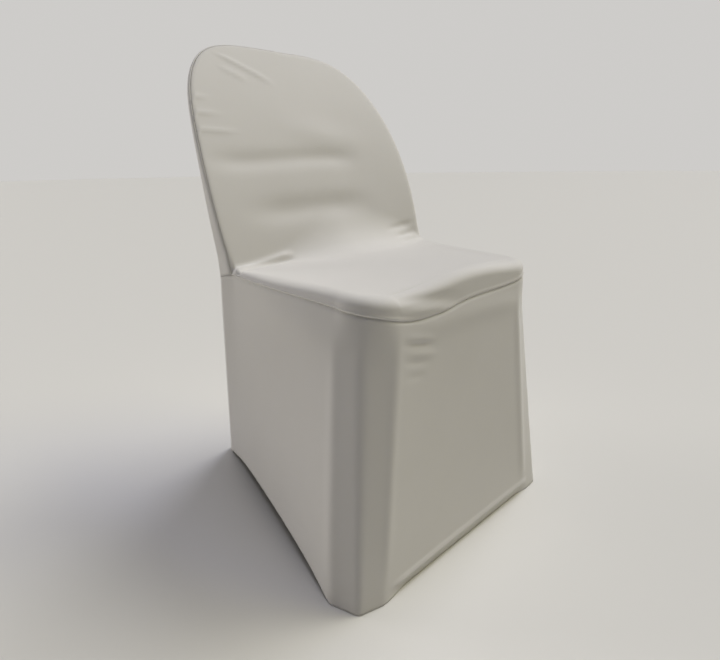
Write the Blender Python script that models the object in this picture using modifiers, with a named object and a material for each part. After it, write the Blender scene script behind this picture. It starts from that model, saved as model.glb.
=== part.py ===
"""Chair cover of stretch cloth with a round-topped hood, built as its three cut pieces.

Metres, +Z up. The front of the cover faces -Y, and +X is on the right of someone who looks
at that front. The sizes below count height from the floor that the hem reaches. A parent
empty then moves the whole cover, so that its origin is the inside of the crown, where the
cover hangs.
"""

import math
from collections import namedtuple

import bmesh
import bpy
import numpy as np

# Cloth and seams
SHEET = 0.0015
SEAM_GAP = 0.0005
SEAM_LIP = 0.003

# Hood: a leaning plane that bows forward between its foot and its crown
SEAT_HEIGHT = 0.445
HOOD_FOOT_Y = 0.066
HOOD_LEAN = math.radians(26.5)
HOOD_BOW = 0.0185
HOOD_LENGTH = 0.3905
HOOD_FOOT_HALF_WIDTH = 0.221
HOOD_HALF_WIDTH = 0.2205
ARCH_START = 0.028
ARCH_SQUARENESS_ACROSS = 5.0
ARCH_SQUARENESS_UP = 2.3
HOOD_DEPTH = 0.044
HOOD_SEAM_DEPTH = 0.005
HOOD_SEAM_LIP = HOOD_SEAM_DEPTH / 3
HOOD_EDGE_ROLL = 0.009
BACK_EDGE_ROLL = 0.012

# Seat panel, seen from above
SEAT_HALF_WIDTH = 0.194
SEAT_FRONT_Y = -0.213
SEAT_CORNER = 0.058
SEAT_EDGE_ROLL = 0.026
SEAT_CROWN = 0.007
SEAT_CROWN_START = 0.12
SEAM_TURN = 0.05
FULL_ROLL_SHARE = 0.5

# Soft bends: how far the cloth leaves a corner to bridge it
HOLLOW_MIDDLE = 0.080
HOLLOW_NEAR = 0.006
HOLLOW_FAR = 0.018
WAIST_MIDDLE = 0.150
WAIST_EDGE = 0.001
HOLLOW_SPREAD = 2.5

# Powers of the share of the width or height: how near an edge a swelling fades
FOLD_FADE = 6
REAR_ARCH_FADE = 6

# Hem: rear corners, front foot corners, and the arches between them
REAR_FOOT_X = 0.163
REAR_FOOT_Y = 0.268
SIDE_ARCH = 0.027
FRONT_ARCH = 0.003
REAR_ARCH = 0.015
BACK_TURN_SHARE = 0.2
SIDE_HOLLOW = 0.007
FRONT_HOLLOW = 0.003

# Rows and columns of the cloth
HOOD_ROWS = 18
SIDE_ROWS = 9
CORNER_ROWS = 6
ACROSS = 22
ROLL_STEPS = 3
SKIRT_ROWS = 11
REAR_ROWS = 12
ARCH_STEPS = 400
MERGE_DISTANCE = 0.00002

# Front foot corners, seen from above: where each one's flat side begins, its pointed tip, and
# where its flat front ends
Foot = namedtuple("Foot", "side_x side_y tip_x tip_y front_x front_y")
NEAR_FOOT = Foot(
    side_x=-0.2490, side_y=-0.187, tip_x=-0.2320, tip_y=-0.2310, front_x=-0.1930, front_y=-0.2420
)
FAR_FOOT = Foot(
    side_x=0.2440, side_y=-0.190, tip_x=0.2235, tip_y=-0.2400, front_x=0.1800, front_y=-0.2425
)

# How far the seat seam lies below the seat, along the seam from the near rear corner (0)
# over the front to the far rear corner (1)
SeamDrop = namedtuple("SeamDrop", "place drop")
SEAM_DROPS = (
    SeamDrop(place=0.00, drop=0.009),
    SeamDrop(place=0.10, drop=0.013),
    SeamDrop(place=0.30, drop=0.028),
    SeamDrop(place=0.41, drop=0.049),
    SeamDrop(place=0.46, drop=0.048),
    SeamDrop(place=0.50, drop=0.044),
    SeamDrop(place=0.60, drop=0.037),
    SeamDrop(place=0.72, drop=0.023),
    SeamDrop(place=0.90, drop=0.012),
    SeamDrop(place=1.00, drop=0.006),
)

# Soft folds of the hood's front: where their middle lies across the hood and up it, half of
# their length and width, how far they rise (troughs are negative) and their tilt in degrees
Fold = namedtuple("Fold", "across up half_length half_width rise tilt")
HOOD_FOLDS = (
    Fold(across=-0.050, up=0.178, half_length=0.100, half_width=0.016, rise=-0.0035, tilt=0),
    Fold(across=-0.055, up=0.148, half_length=0.140, half_width=0.016, rise=0.0035, tilt=-1),
    Fold(across=-0.045, up=0.091, half_length=0.100, half_width=0.022, rise=-0.0040, tilt=2),
    Fold(across=0.060, up=0.235, half_length=0.110, half_width=0.026, rise=0.0025, tilt=-8),
    Fold(across=-0.070, up=0.340, half_length=0.070, half_width=0.014, rise=-0.0035, tilt=-34),
    Fold(across=-0.190, up=0.245, half_length=0.040, half_width=0.014, rise=-0.0030, tilt=0),
    Fold(across=0.180, up=0.030, half_length=0.050, half_width=0.014, rise=-0.0030, tilt=-25),
    Fold(across=-0.140, up=0.012, half_length=0.080, half_width=0.014, rise=-0.0030, tilt=9),
)

UP_THE_HOOD = np.array([0.0, math.sin(HOOD_LEAN), math.cos(HOOD_LEAN)])
INTO_THE_HOOD = np.array([0.0, math.cos(HOOD_LEAN), -math.sin(HOOD_LEAN)])
FORWARD = np.array([0.0, -1.0, 0.0])
DOWN = np.array([0.0, 0.0, -1.0])
HOOD_FOOT = np.array([0.0, HOOD_FOOT_Y, SEAT_HEIGHT])
CROWN_INSIDE = HOOD_FOOT + UP_THE_HOOD * (HOOD_LENGTH - SHEET) + INTO_THE_HOOD * HOOD_DEPTH / 2

IVORY = (0.61, 0.58, 0.53, 1.0)
CLOTH_ROUGHNESS = 0.75


def unit(vector):
    return vector / np.linalg.norm(vector)


def ease(start, end, value):
    """0 before start and 1 past end, with a soft step between them."""
    part = np.clip((value - start) / (end - start), 0.0, 1.0)
    return part * part * (3 - 2 * part)


def evenly_spaced(points, count):
    """A line's points, placed again in count equal steps along it."""
    steps = np.linalg.norm(np.diff(points, axis=0), axis=1)
    run = np.concatenate([[0.0], np.cumsum(steps)])
    places = np.linspace(0.0, run[-1], count + 1)
    return np.stack([np.interp(places, run, values) for values in points.T], axis=1)


def column(values):
    """Values that each scale one point of a row of points."""
    return np.asarray(values, dtype=float)[..., None]


def hood_outline():
    """Half width and height up the hood of its edge, from its foot to its crown."""
    turn = np.linspace(0.0, math.pi / 2, ARCH_STEPS)
    across = HOOD_HALF_WIDTH * np.clip(np.cos(turn), 0.0, 1.0) ** (2 / ARCH_SQUARENESS_ACROSS)
    up = ARCH_START + (HOOD_LENGTH - ARCH_START) * np.sin(turn) ** (2 / ARCH_SQUARENESS_UP)
    across[-1] = 0.0
    arch = np.stack([across, up], axis=1)
    return evenly_spaced(np.vstack([[HOOD_FOOT_HALF_WIDTH, 0.0], arch]), HOOD_ROWS)


def inset(outline, distance):
    """The outline moved inward, in its own plane, and kept off the middle line."""
    along = np.gradient(outline, axis=0)
    along = along / column(np.linalg.norm(along, axis=1))
    along[-1] = (-1.0, 0.0)
    inward = np.stack([-along[:, 1], along[:, 0]], axis=1)
    moved = outline + inward * distance
    moved[:, 0] = np.maximum(moved[:, 0], 0.0)
    moved[-1, 0] = 0.0
    return moved


def bow(up):
    """How far the hood stands forward of its straight plane."""
    part = np.clip(np.asarray(up) / HOOD_LENGTH, 0.0, 1.0)
    return HOOD_BOW * 4 * part * (1 - part)


def hood_foot_direction():
    """The direction in which the bowed hood leaves its foot."""
    return unit(UP_THE_HOOD - INTO_THE_HOOD * HOOD_BOW * 4 / HOOD_LENGTH)


def bridge(distance, reach, one_way, other_way):
    """What is added to a sharp corner's two lines to bridge the corner within reach of it."""
    near = np.maximum(reach - np.abs(distance), 0.0)
    return column(near * near / (4 * reach)) * (one_way + other_way)


def front_point(across, forward, reach):
    """A point of the inside back (forward is negative there) and of the seat."""
    across, forward, reach = np.broadcast_arrays(across, forward, reach)
    up = np.maximum(-forward, 0.0)
    on_hood = column(up) * UP_THE_HOOD - column(bow(up)) * INTO_THE_HOOD
    on_seat = column(np.maximum(forward, 0.0)) * FORWARD
    corner = bridge(forward, reach, hood_foot_direction(), FORWARD)
    return HOOD_FOOT + column(across) * [1.0, 0.0, 0.0] + on_hood + on_seat + corner


def waist():
    """Where the back of the hood meets the level of the seat."""
    return HOOD_FOOT + INTO_THE_HOOD * HOOD_DEPTH


def lower_corner(side, part):
    """The upright seam between skirt and back, by its share of the way down to the hem."""
    start = waist() - INTO_THE_HOOD * (BACK_EDGE_ROLL + SEAM_LIP)
    start = start + np.array([side * HOOD_FOOT_HALF_WIDTH, 0.0, 0.0])
    end = np.array([side * REAR_FOOT_X, REAR_FOOT_Y, 0.0])
    return start + (end - start) * part


def down_the_back():
    """The direction of the back below the waist, seen from the side."""
    end = lower_corner(0.0, 1.0)
    return unit(end - lower_corner(0.0, 0.0))


def back_of_hood(across, up, reach):
    """A point of the hood's back, by its height up the hood."""
    across, up, reach = np.broadcast_arrays(across, up, reach)
    on_hood = column(up) * UP_THE_HOOD - column(bow(up)) * INTO_THE_HOOD
    corner = bridge(up, reach, hood_foot_direction(), down_the_back())
    return waist() + column(across) * [1.0, 0.0, 0.0] + on_hood + corner


def fold_rise(across, up):
    """How far the hood's folds lift its front, at a place on it."""
    total = np.zeros(np.broadcast(across, up).shape)
    for fold in HOOD_FOLDS:
        turn = math.radians(fold.tilt)
        away_x = across - fold.across
        away_y = up - fold.up
        along = (away_x * math.cos(turn) + away_y * math.sin(turn)) / fold.half_length
        over = (away_y * math.cos(turn) - away_x * math.sin(turn)) / fold.half_width
        total = total + fold.rise * np.exp(-along * along - over * over)
    return total


def rolled_edge(edge, inner, way, drop, lip):
    """The cloth's turn over an edge: a quarter roll from inner to edge, then a straight lip.

    The rows of the result run from the first step off inner to the end of the lip.
    """
    drop = np.asarray(drop, dtype=float)
    turns = np.linspace(0.0, math.pi / 2, ROLL_STEPS + 1)[1:]
    steps = []
    for turn in turns:
        outward = (edge - inner) * math.sin(turn)
        steps.append(inner + outward + column((drop - lip) * (1 - math.cos(turn))) * way)
    steps.append(edge + column(drop) * way)
    return np.array(steps)


def seam_drop(place):
    """The seat seam's drop at a place along the seam, from 0 to 1."""
    places = [row.place for row in SEAM_DROPS]
    drops = [row.drop for row in SEAM_DROPS]
    return np.interp(place, places, drops)


def seat_outline():
    """Half width and distance forward of the seat's edge, then of its inner line."""
    corner_x = SEAT_HALF_WIDTH - SEAT_CORNER
    corner_forward = HOOD_FOOT_Y - SEAT_FRONT_Y - SEAT_CORNER
    part = np.linspace(0.0, 1.0, SIDE_ROWS + 1)[1:]
    side_x = HOOD_FOOT_HALF_WIDTH + (SEAT_HALF_WIDTH - HOOD_FOOT_HALF_WIDTH) * part
    side_forward = corner_forward * part
    roll_grown = ease(0.0, FULL_ROLL_SHARE, part)
    roll = HOOD_EDGE_ROLL + (SEAT_EDGE_ROLL - HOOD_EDGE_ROLL) * roll_grown
    turn = np.linspace(0.0, math.pi / 2, CORNER_ROWS + 1)[1:]
    inner = SEAT_CORNER - SEAT_EDGE_ROLL
    side = np.stack([side_x, side_forward], axis=1)
    side_inner = np.stack([side_x - roll, side_forward], axis=1)
    round_way = np.stack([np.cos(turn), np.sin(turn)], axis=1)
    centre = np.array([corner_x, corner_forward])
    edge = np.vstack([side, centre + SEAT_CORNER * round_way])
    inner_line = np.vstack([side_inner, centre + inner * round_way])
    return edge, inner_line


def seam_places(edge):
    """Where the near half's seat rows lie along the whole seam, and half of its length."""
    start = [HOOD_FOOT_HALF_WIDTH, 0.0]
    middle = [0.0, HOOD_FOOT_Y - SEAT_FRONT_Y]
    line = np.vstack([start, edge, middle])
    run = np.concatenate([[0.0], np.cumsum(np.linalg.norm(np.diff(line, axis=0), axis=1))])
    return run[1:-1] / (2 * run[-1]), run[-1]


def join_row(near_edge, middle, far_edge):
    """One row of the cloth, from the near seam to the far one."""
    return np.vstack([near_edge[::-1], middle, far_edge])


def front_panel_rows():
    """Inside back and seat, cut in one: rows from the crown to the front seam."""
    share = np.linspace(-1.0, 1.0, ACROSS + 1)
    side_hollow = np.where(share < 0, HOLLOW_NEAR, HOLLOW_FAR)
    reach = HOLLOW_MIDDLE + (side_hollow - HOLLOW_MIDDLE) * np.abs(share) ** HOLLOW_SPREAD
    rows = []

    outline = hood_outline()
    inner_line = inset(outline, HOOD_EDGE_ROLL)
    for (half, up), (inner_half, inner_up) in zip(outline[::-1], inner_line[::-1]):
        middle = front_point(inner_half * share, -inner_up, reach)
        lift = fold_rise(inner_half * share, inner_up) * (1 - share**FOLD_FADE)
        middle = middle - column(lift) * INTO_THE_HOOD
        sides = []
        for side, hollow in ((-1, HOLLOW_NEAR), (1, HOLLOW_FAR)):
            edge = front_point(side * half, -up, hollow)
            inner = front_point(side * inner_half, -inner_up, hollow)
            roll = rolled_edge(edge, inner, INTO_THE_HOOD, HOOD_SEAM_DEPTH, HOOD_SEAM_LIP)
            sides.append(roll)
        rows.append(join_row(sides[0], middle, sides[1]))

    outline, inner_line = seat_outline()
    places, half_seam = seam_places(outline)
    for (half, forward), (inner_half, inner_forward), place in zip(outline, inner_line, places):
        crown = SEAT_CROWN * ease(0.0, SEAT_CROWN_START, inner_forward) * (1 - share**2)
        lift = fold_rise(inner_half * share, -inner_forward) * (1 - share**FOLD_FADE)
        middle = front_point(inner_half * share, inner_forward, reach)
        middle = middle - column(crown + lift) * DOWN
        turned = ease(0.0, SEAM_TURN, forward)
        way = unit(INTO_THE_HOOD * (1 - turned) + DOWN * turned)
        sides = []
        for side, hollow, along in ((-1, HOLLOW_NEAR, place), (1, HOLLOW_FAR, 1 - place)):
            drop = seam_drop(along)
            edge = front_point(side * half, forward, hollow)
            inner = front_point(side * inner_half, inner_forward, hollow)
            lip = min(SEAM_LIP, drop / 2)
            sides.append(rolled_edge(edge, inner, way, drop, lip))
        rows.append(join_row(sides[0], middle, sides[1]))

    steps = ROLL_STEPS + 1
    last = rows[-1]
    inner = last[steps:-steps]
    edge = inner.copy()
    edge[:, 1] = SEAT_FRONT_Y
    place = 0.5 + inner[:, 0] / (2 * half_seam)
    front = rolled_edge(edge, inner, DOWN, seam_drop(place), SEAM_LIP)
    for step, middle in enumerate(front, start=1):
        corner = [steps - max(step, steps - place_in_row) for place_in_row in range(steps)]
        rows.append(np.vstack([last[corner], middle, last[::-1][corner][::-1]]))
    return np.array(rows)


def rear_panel_rows():
    """Back of the hood with its side bands, and the back down to the hem, cut in one."""
    share = np.linspace(-1.0, 1.0, ACROSS + 1)
    reach = WAIST_MIDDLE + (WAIST_EDGE - WAIST_MIDDLE) * share**2
    rows = []

    outline = hood_outline()
    inner_line = inset(outline, BACK_EDGE_ROLL)
    for (half, up), (inner_half, inner_up) in zip(outline[::-1], inner_line[::-1]):
        middle = back_of_hood(inner_half * share, inner_up, reach)
        sides = []
        for side, hollow in ((-1, HOLLOW_NEAR), (1, HOLLOW_FAR)):
            edge = back_of_hood(side * half, up, WAIST_EDGE)
            inner = back_of_hood(side * inner_half, inner_up, WAIST_EDGE)
            roll = rolled_edge(edge, inner, -INTO_THE_HOOD, BACK_EDGE_ROLL + SEAM_LIP, SEAM_LIP)
            seam = front_point(side * half, -up, hollow)
            seam = seam + INTO_THE_HOOD * (HOOD_SEAM_DEPTH + SEAM_GAP)
            sides.append(np.vstack([roll, seam]))
        rows.append(join_row(sides[0], middle, sides[1]))

    no_point = np.full((1, 3), np.nan)
    length = np.linalg.norm(lower_corner(0.0, 1.0) - lower_corner(0.0, 0.0))
    roll_in = np.array([BACK_EDGE_ROLL, 0.0, 0.0])
    for part in np.linspace(0.0, 1.0, REAR_ROWS + 1)[1:]:
        turned = ease(0.0, BACK_TURN_SHARE, part)
        backward = unit(INTO_THE_HOOD * (1 - turned) - FORWARD * turned)
        drop = BACK_EDGE_ROLL + SEAM_LIP
        edges = [lower_corner(side, part) + backward * drop for side in (-1, 1)]
        inners = [edges[0] + roll_in, edges[1] - roll_in]
        middle = inners[0] + column((share + 1) / 2) * (inners[1] - inners[0])
        middle = middle + bridge(part * length, reach, hood_foot_direction(), down_the_back())
        lift = REAR_ARCH * (1 - share**2) * part**REAR_ARCH_FADE
        middle = middle - column(lift) * DOWN
        sides = []
        for edge, inner in zip(edges, inners):
            roll = rolled_edge(edge, inner, -backward, drop, SEAM_LIP)
            sides.append(np.vstack([roll, no_point]))
        rows.append(join_row(sides[0], middle, sides[1]))
    return np.array(rows)


def skirt_top(front_rows, rear_rows):
    """The skirt's upper edge: under the side bands, then all along the seat seam."""
    first = HOOD_ROWS
    last = first + SIDE_ROWS + CORNER_ROWS
    steps = ROLL_STEPS + 1
    near_seam = front_rows[first : last + 1, 0]
    far_seam = front_rows[first : last + 1, -1][::-1]
    front_seam = front_rows[-1][steps + 1 : -steps - 1]
    near_corner = rear_rows[first][1]
    far_corner = rear_rows[first][-2]
    clearance = FORWARD * SEAM_GAP
    near_band = (near_corner + near_seam[0]) / 2
    far_band = (far_corner + far_seam[-1]) / 2
    near = np.vstack([near_corner + clearance, near_band, near_seam])
    far = np.vstack([far_seam, far_band, far_corner + clearance])
    return np.vstack([near, front_seam, far]) + DOWN * SEAM_GAP


def side_hem(side, foot):
    """The hem from a rear corner to the end of that side's front foot, seen from above."""
    rear = np.array([side * REAR_FOOT_X, REAR_FOOT_Y - SEAM_GAP])
    side_end = np.array([foot.side_x, foot.side_y])
    tip = np.array([foot.tip_x, foot.tip_y])
    front_end = np.array([foot.front_x, foot.front_y])
    straight = rear + column(np.linspace(0.0, 1.0, SIDE_ROWS + 3)) * (side_end - rear)
    step = column(np.linspace(0.0, 1.0, CORNER_ROWS // 2 + 1)[1:])
    to_tip = side_end + step * (tip - side_end)
    from_tip = tip + step * (front_end - tip)
    return np.vstack([straight, to_tip, from_tip])


def skirt_hem(front_count):
    """The skirt's lower edge, with a point under each point of its upper edge."""
    arch = SIDE_ARCH * np.sin(math.pi * np.linspace(0.0, 1.0, SIDE_ROWS + 3))
    height = np.concatenate([arch, np.zeros(2 * (CORNER_ROWS // 2))])
    near = np.column_stack([side_hem(-1, NEAR_FOOT), height])
    far = np.column_stack([side_hem(1, FAR_FOOT), height])
    across = np.linspace(-1.0, 1.0, front_count + 2)[1:-1]
    front = near[-1] + column((across + 1) / 2) * (far[-1] - near[-1])
    front[:, 2] += FRONT_ARCH * np.cos(math.pi / 2 * across)
    return np.vstack([near, front, far[::-1]])


def skirt_rows(front_rows, rear_rows):
    """Near side, front and far side, cut in one: columns from the seat seam to the hem."""
    top = skirt_top(front_rows, rear_rows)
    side_count = SIDE_ROWS + 3
    front_count = len(top) - 2 * (side_count + CORNER_ROWS)
    hem = skirt_hem(front_count)
    part = np.linspace(0.0, 1.0, SKIRT_ROWS + 1)
    rows = top[:, None] * column(1 - part) + hem[:, None] * column(part)
    belly = np.sin(math.pi * part)
    side = SIDE_HOLLOW * np.sin(math.pi * np.linspace(0.0, 1.0, side_count))
    front = FRONT_HOLLOW * np.sin(math.pi * np.linspace(0.0, 1.0, front_count + 2)[1:-1])
    rows[:side_count, :, 0] += side[:, None] * belly
    rows[-side_count:, :, 0] -= side[::-1, None] * belly
    start = side_count + CORNER_ROWS
    rows[start : start + front_count, :, 1] += front[:, None] * belly
    return rows


def cloth_material(name):
    """Plain ivory stretch cloth."""
    material = bpy.data.materials.new(name)
    material.use_nodes = True
    surface = material.node_tree.nodes["Principled BSDF"]
    surface.inputs["Base Color"].default_value = IVORY
    surface.inputs["Roughness"].default_value = CLOTH_ROUGHNESS
    surface.inputs["Metallic"].default_value = 0.0
    return material


def sew_rows(rows):
    """A mesh with a face for each cell of the rows whose four points exist."""
    shape = bmesh.new()
    points = [[None if np.isnan(p[0]) else shape.verts.new(p) for p in row] for row in rows]
    for upper, lower in zip(points, points[1:]):
        for cell in zip(upper, upper[1:], lower[1:], lower):
            if None not in cell:
                shape.faces.new(cell)
    bmesh.ops.remove_doubles(shape, verts=shape.verts, dist=MERGE_DISTANCE)
    bmesh.ops.dissolve_degenerate(shape, edges=shape.edges, dist=MERGE_DISTANCE)
    loose = [point for point in shape.verts if not point.link_faces]
    bmesh.ops.delete(shape, geom=loose, context="VERTS")
    return shape


def make_piece(name, rows, parent, collection):
    """One cut piece: its open outer surface, thickened inward."""
    shape = sew_rows(rows)
    mesh = bpy.data.meshes.new(name)
    shape.to_mesh(mesh)
    shape.free()
    mesh.shade_smooth()
    piece = bpy.data.objects.new(name, mesh)
    collection.objects.link(piece)
    piece.parent = parent
    piece.data.materials.append(cloth_material(name + "_cloth"))
    shell = piece.modifiers.new("Thickness", "SOLIDIFY")
    shell.thickness = SHEET
    shell.offset = -1.0
    shell.use_even_offset = True
    return piece


def main():
    for thing in list(bpy.data.objects):
        bpy.data.objects.remove(thing, do_unlink=True)
    collection = bpy.data.collections.new("chair_cover")
    bpy.context.scene.collection.children.link(collection)
    cover = bpy.data.objects.new("cover", None)
    cover.location = -CROWN_INSIDE
    collection.objects.link(cover)

    front_rows = front_panel_rows()
    rear_rows = rear_panel_rows()
    make_piece("front_panel", front_rows[:, ::-1], cover, collection)
    make_piece("rear_panel", rear_rows, cover, collection)
    make_piece("skirt", skirt_rows(front_rows, rear_rows), cover, collection)


main()
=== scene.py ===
"""Looks of a stretch-cloth chair cover, as three sewn sheets: hood and seat, back, and skirt.

Metres, +Z up, in the row's frame. Each sheet is one grid that is laid over the shape it is
stretched on. Its folds are then pushed out of it or into it one by one, and it is thickened.
"""

import math
from collections import namedtuple

import bmesh
import bpy
import numpy as np
from mathutils import Matrix, Vector


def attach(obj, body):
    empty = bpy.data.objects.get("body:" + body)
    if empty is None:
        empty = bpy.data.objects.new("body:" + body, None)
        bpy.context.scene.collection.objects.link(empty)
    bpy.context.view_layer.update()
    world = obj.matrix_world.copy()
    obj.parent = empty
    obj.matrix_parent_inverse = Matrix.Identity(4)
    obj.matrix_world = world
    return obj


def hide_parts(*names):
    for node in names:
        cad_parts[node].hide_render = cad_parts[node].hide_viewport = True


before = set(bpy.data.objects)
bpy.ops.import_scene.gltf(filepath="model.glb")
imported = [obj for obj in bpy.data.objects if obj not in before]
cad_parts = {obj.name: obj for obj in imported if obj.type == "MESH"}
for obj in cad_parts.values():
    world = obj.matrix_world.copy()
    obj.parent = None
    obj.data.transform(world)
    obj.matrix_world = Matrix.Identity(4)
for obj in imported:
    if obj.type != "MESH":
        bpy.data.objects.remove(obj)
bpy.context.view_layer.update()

bl_info = {
    "name": "Chair Cover",
    "version": (1, 0, 0),
    "blender": (4, 5, 0),
    "location": "3D View > Sidebar > Chair Cover",
    "description": "Builds a hooded stretch-cloth chair cover from its three cut pieces",
    "category": "Add Mesh",
}

# Rows and columns of the sheets
HOOD_ROWS = 128
CROWN_ROW = 100
CROWN_SPREAD_ROWS = 30
SAG_ROWS = 8
SIDE_ROWS = 64
CORNER_ROWS = 26
ACROSS = 130
ROLL_STEPS = 9
WALL_STEPS = 9
LIP_STEPS = 2
BAND_STEPS = 8
SKIRT_ROWS = 110
REAR_ROWS = 80
TUCK_STEPS = 3
ARCH_STEPS = 800
MERGE_DISTANCE = 0.00002
EDGE_SOFTNESS = 9
FLOOR_SIDES = 96

# Shares and powers that give the shape its character. The hood's powers say how square its
# arch is, across and upward. Starts and ends are shares of the way unless they say metres.
HOOD_POWERS = {"near": (4.85, 2.4), "far": (4.45, 2.25)}
DEPTH_START = -0.2
BAND_SHARE = 0.4
WING_START = 0.2
HOLLOW_OPEN = 0.1
DIP_START = 0.6
FAR_DIP_START = 0.3
FAR_DIP_END = 0.3
ROLL_FULL = 0.5
SWELL_FULL_METRES = 0.12
SWELL_POWER = 1.5
TURN_SHARE = 0.7
BEAD_ABOVE_METRES = 0.0025
BEAD_HALF_METRES = 0.0015
GROOVE_HALF_METRES = 0.001
GROOVE_SHARE = 0.6
BACK_TURNED = 0.2
REAR_ARCH_POWER = 6
SIDE_ARCH_POWER = 2.6
WAIST_ROWS = 8
HEM_SHARPNESS = 0.75

FLOOR_RADIUS = 30.0
FLOOR_GAP = 0.001
RIB_SPACING = 0.0012
WAVES_A_TURN = 20

FORWARD = np.array([0.0, -1.0, 0.0])
DOWN = np.array([0.0, 0.0, -1.0])

# How far the seat seam lies below the seat, along the seam from the near rear corner (0)
# over the front to the far rear corner (1)
SeamDrop = namedtuple("SeamDrop", "place drop")
SEAM_DROPS = (
    SeamDrop(0.00, 0.009),
    SeamDrop(0.10, 0.013),
    SeamDrop(0.30, 0.028),
    SeamDrop(0.41, 0.049),
    SeamDrop(0.46, 0.048),
    SeamDrop(0.50, 0.044),
    SeamDrop(0.60, 0.037),
    SeamDrop(0.72, 0.023),
    SeamDrop(0.90, 0.012),
    SeamDrop(1.00, 0.006),
)

# The hood's edge by its height, from the seat (0) to the crown (1): how deep the hood is there,
# and how far its near side swells outward.
HoodEdge = namedtuple("HoodEdge", "height depth near_swell")
HOOD_EDGE = (
    HoodEdge(0.00, 0.050, 0.0000),
    HoodEdge(0.12, 0.037, 0.0040),
    HoodEdge(0.25, 0.029, 0.0052),
    HoodEdge(0.40, 0.020, 0.0055),
    HoodEdge(0.55, 0.015, 0.0060),
    HoodEdge(0.80, 0.013, 0.0066),
    HoodEdge(0.90, 0.013, 0.0045),
    HoodEdge(1.00, 0.013, 0.0010),
)

# The arch seam by its share of the way from the seat (0) to the crown (1): how far it lies
# behind the hood's front, and how wide the front panel's turn to it is, at the far side
ArchSeam = namedtuple("ArchSeam", "place far_step far_roll")
ARCH_SEAM = (
    ArchSeam(0.00, 0.004, 0.012),
    ArchSeam(0.60, 0.004, 0.012),
    ArchSeam(0.80, 0.003, 0.010),
    ArchSeam(1.00, 0.003, 0.010),
)

# A fold runs from start to end, in metres across and along its sheet. It is a ridge where rise
# is positive and a trough where it is negative. width is its half width, and fade the share of
# its length over which each end dies away. Between its ends it bows sideways by bow.
# On the front panel the seat's rear line is 0, and the hood lies at negative values: the two
# broad troughs across the hood and the swell above them, the creases below the crown, the
# wrinkles at the near edge, the creases at the far foot and the near foot, and the trough and
# ridge above the front seam.
Fold = namedtuple("Fold", "start end rise width fade bow", defaults=(0.0,))
FRONT_FOLDS = (
    Fold((-0.225, -0.171), (0.115, -0.167), -0.0032, 0.015, 0.24, 0.002),
    Fold((-0.19, -0.086), (0.13, -0.08), -0.0044, 0.02, 0.35, 0.004),
    Fold((-0.09, -0.235), (0.17, -0.2), 0.0022, 0.026, 0.5, 0.01),
    Fold((-0.136, -0.38), (-0.026, -0.304), 0.0018, 0.0038, 0.3),
    Fold((-0.134, -0.346), (-0.078, -0.312), 0.0013, 0.0034, 0.35),
    Fold((-0.236, -0.282), (-0.162, -0.279), 0.0012, 0.004, 0.4),
    Fold((-0.236, -0.253), (-0.148, -0.25), 0.0011, 0.004, 0.4),
    Fold((-0.232, -0.223), (-0.126, -0.219), 0.0012, 0.004, 0.4),
    Fold((0.112, -0.018), (0.218, -0.038), -0.0022, 0.005, 0.4),
    Fold((0.126, 0.0), (0.222, -0.021), -0.0022, 0.0045, 0.4),
    Fold((0.13, 0.018), (0.215, -0.004), -0.0016, 0.0045, 0.4),
    Fold((-0.23, 0.019), (-0.1, 0.001), -0.0034, 0.0038, 0.16, -0.003),
    Fold((-0.226, 0.008), (-0.1, -0.0095), 0.0034, 0.005, 0.2, -0.003),
    Fold((-0.218, 0.0268), (-0.176, 0.0242), -0.0016, 0.0026, 0.4),
    Fold((-0.165, 0.301), (0.0, 0.291), -0.0024, 0.007, 0.4, -0.003),
    Fold((-0.15, 0.317), (-0.01, 0.306), 0.0026, 0.0065, 0.4, -0.003),
)

# On the skirt the first value is the place along its upper edge from the near rear corner,
# and the second the height above the floor: the front corner's soft creases, the wrinkles
# beside it, and the turned hem, which flares below its stitched line.
SKIRT_FOLDS = (
    Fold((0.255, 0.4), (0.255, 0.01), -0.0012, 0.008, 0.2),
    Fold((0.347, 0.4), (0.35, 0.03), -0.0009, 0.007, 0.2),
    Fold((0.622, 0.39), (0.622, 0.02), -0.0016, 0.008, 0.15),
    Fold((0.35, 0.384), (0.425, 0.367), -0.0014, 0.0045, 0.4),
    Fold((0.346, 0.3745), (0.43, 0.356), 0.0017, 0.0042, 0.45, 0.002),
    Fold((0.352, 0.3625), (0.436, 0.342), -0.0012, 0.0045, 0.45),
    Fold((0.35, 0.352), (0.424, 0.335), 0.0013, 0.0038, 0.45, -0.001),
    Fold((0.354, 0.329), (0.412, 0.317), 0.0009, 0.005, 0.45),
    Fold((0.34, 0.386), (0.66, 0.376), -0.0026, 0.017, 0.25, 0.006),
    Fold((0.06, 0.408), (0.3, 0.378), -0.004, 0.03, 0.45),
    Fold((0.352, 0.02), (0.64, 0.0215), -0.0032, 0.004, 0.1, 0.001),
    Fold((0.352, 0.0), (0.64, 0.0), 0.0055, 0.012, 0.12),
    Fold((0.0, 0.04), (0.24, 0.025), -0.0014, 0.01, 0.3),
)

# On the rear panel the first value is the place across from its middle, and the second the
# length down from the arch seam at the crown: the soft pulls below the waist, the broad trough
# across the hood's back, and a faint line above the hem's two ends.
REAR_FOLDS = (
    Fold((-0.19, 0.455), (-0.06, 0.56), -0.003, 0.012, 0.4, 0.008),
    Fold((0.2, 0.45), (0.05, 0.59), -0.0034, 0.014, 0.4, -0.01),
    Fold((0.185, 0.49), (0.08, 0.6), -0.002, 0.009, 0.4, -0.006),
    Fold((-0.15, 0.25), (0.12, 0.23), -0.0024, 0.02, 0.4, 0.012),
    Fold((-0.17, 0.868), (0.17, 0.868), -0.0014, 0.0036, 0.1),
)


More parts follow.
